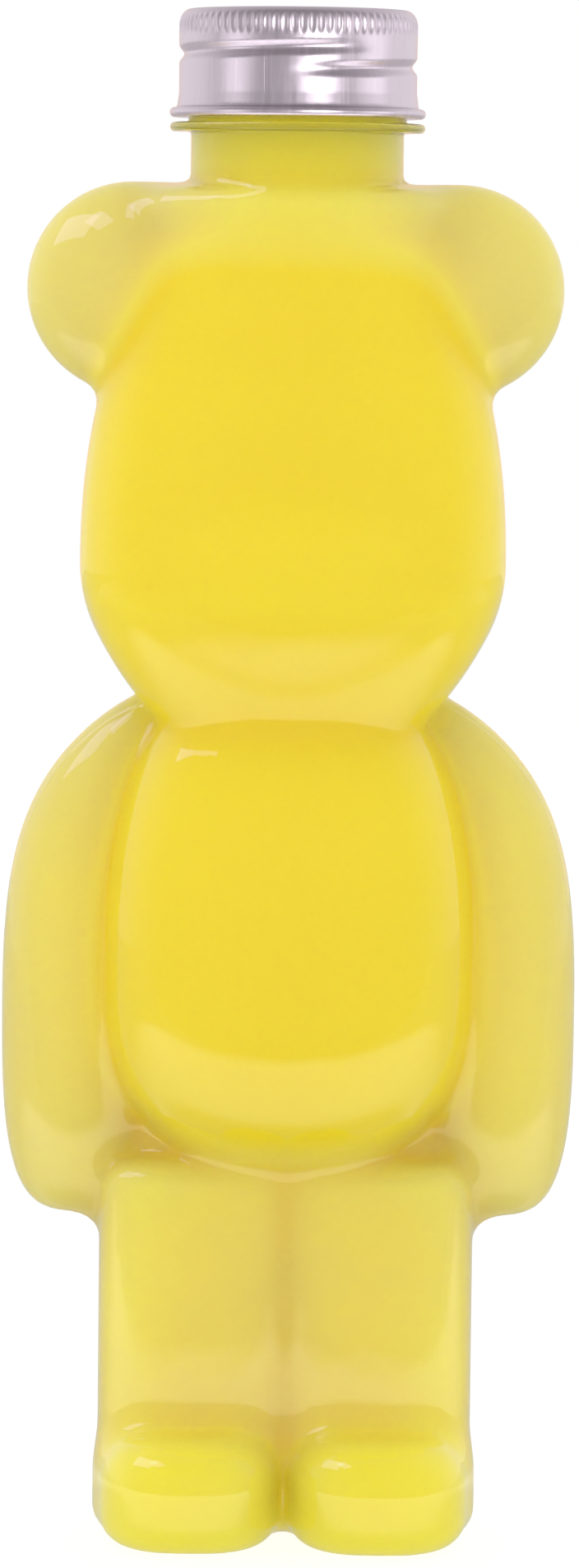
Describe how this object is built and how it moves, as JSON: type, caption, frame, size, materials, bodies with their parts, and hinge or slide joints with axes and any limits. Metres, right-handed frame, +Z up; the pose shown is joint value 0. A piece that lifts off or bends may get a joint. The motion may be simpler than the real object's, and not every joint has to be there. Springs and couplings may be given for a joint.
{
  "type": "bear-shaped drinks bottle",
  "caption": "Clear plastic drinks bottle shaped as a standing bear, with round ears, arms at its sides and toes forward, closed by an aluminium screw cap with a fluted edge and a foam liner.",
  "frame": {"origin": "on the floor, below the middle of the bottle's width and depth", "axes": "+Z up along the neck axis, +X to the right in the picture, which is the bear's left-hand side, -Y towards the picture's camera, the way the bear faces"},
  "size_m": [0.0948, 0.056, 0.25],
  "materials": {
    "clear_plastic": "clear, glossy, blow-moulded",
    "aluminium": "satin drawn sheet",
    "liner_foam": "matte closed-cell foam",
    "drink": "clear yellow liquid"
  },
  "bodies": {
    "bottle": {"bottle_shell": "clear_plastic"},
    "liner": {"cap_liner": "liner_foam"},
    "cap": {"screw_cap": "aluminium"}
  },
  "joints": [
    {"name": "cap_lift", "type": "slide", "parent": "bottle", "child": "liner", "axis": [0, 0, 1], "range_m": [0, 0.0045]},
    {"name": "cap_twist", "type": "hinge", "parent": "liner", "child": "cap", "pos_m": [0, 0, 0.2325], "axis": [0, 0, 1], "range_deg": [0, 450]}
  ],
  "couplings": [
    {"joint": "cap_lift", "follows": "cap_twist", "m_per_rad": 0.00057295}
  ]
}
